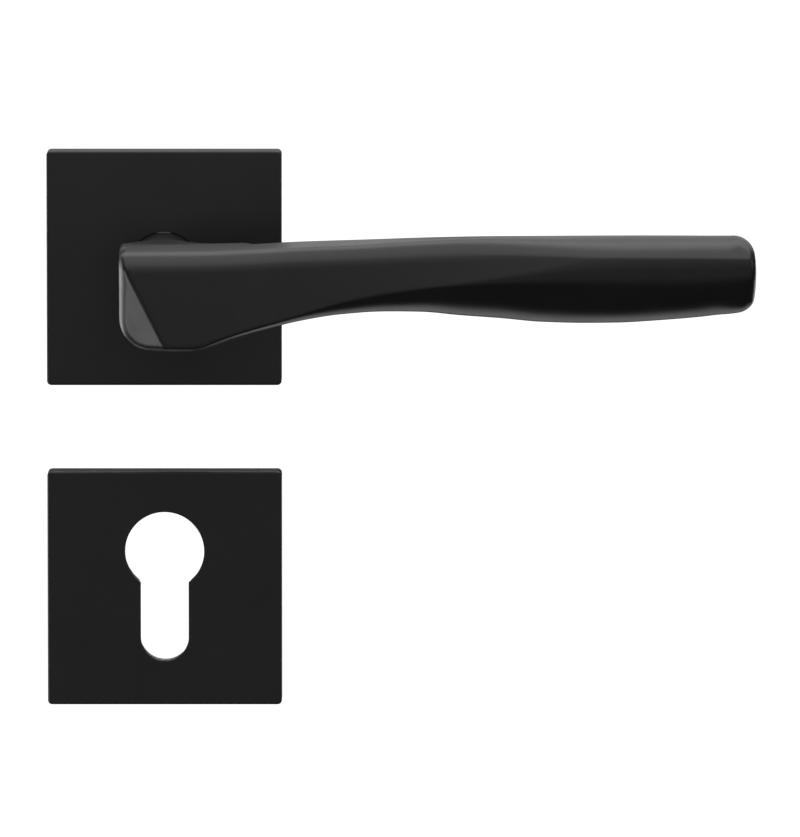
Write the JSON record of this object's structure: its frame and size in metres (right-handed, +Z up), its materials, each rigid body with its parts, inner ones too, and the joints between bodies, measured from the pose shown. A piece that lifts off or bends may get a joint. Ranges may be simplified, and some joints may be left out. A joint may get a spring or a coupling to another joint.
{
  "type": "door lever handle",
  "caption": "Satin black door lever with a faceted head and twisted grip on a square rose, with a matching square escutcheon for a profile cylinder.",
  "frame": {"origin": "where the spindle's axis meets the face of the door", "axes": "+X along the lever towards its tip, +Y into the door along the spindle, +Z up the door"},
  "size_m": [0.1557, 0.128, 0.1232],
  "materials": {
    "black_coating": "satin black powder coating on a zinc casting",
    "zinc_casting": "raw grey zinc die casting",
    "spindle_steel": "zinc plated square bar",
    "plated_steel": "bright zinc plating",
    "spring_steel": "oiled spring steel",
    "black_oxide": "black oxide steel",
    "nylon": "natural nylon"
  },
  "bodies": {
    "door_side": {"rose_base": "zinc_casting", "bearing_bush": "nylon", "thrust_washer": "plated_steel", "return_spring": "spring_steel", "through_bolt_left": "plated_steel", "through_bolt_right": "plated_steel", "bolt_sleeve_left": "plated_steel", "bolt_sleeve_right": "plated_steel", "rose_screw_lower": "plated_steel", "rose_screw_upper": "plated_steel", "rose_clip_upper": "spring_steel", "rose_clip_lower": "spring_steel", "escutcheon_base": "zinc_casting", "escutcheon_screw_left": "plated_steel", "escutcheon_screw_right": "plated_steel", "escutcheon_clip_upper": "spring_steel", "escutcheon_clip_lower": "spring_steel"},
    "lever": {"lever_handle": "black_coating", "spring_driver": "plated_steel", "retaining_ring": "spring_steel", "spindle": "spindle_steel", "spindle_grub_screw": "black_oxide"},
    "rose_cover": {"rose_cover": "black_coating"},
    "escutcheon_cover": {"escutcheon_cover": "black_coating"}
  },
  "joints": [
    {"name": "lever_turn", "type": "hinge", "parent": "door_side", "child": "lever", "pos_m": [0, 0, 0], "axis": [0, 1, 0], "range_deg": [0, 45], "stiffness_Nm_per_rad": 0.7, "springref_deg": -36.67, "deforming": ["return_spring"]},
    {"name": "rose_cover_slide", "type": "slide", "parent": "door_side", "child": "rose_cover", "axis": [0, -1, 0], "range_m": [0, 0.014]},
    {"name": "escutcheon_cover_slide", "type": "slide", "parent": "door_side", "child": "escutcheon_cover", "axis": [0, -1, 0], "range_m": [0, 0.012]}
  ]
}
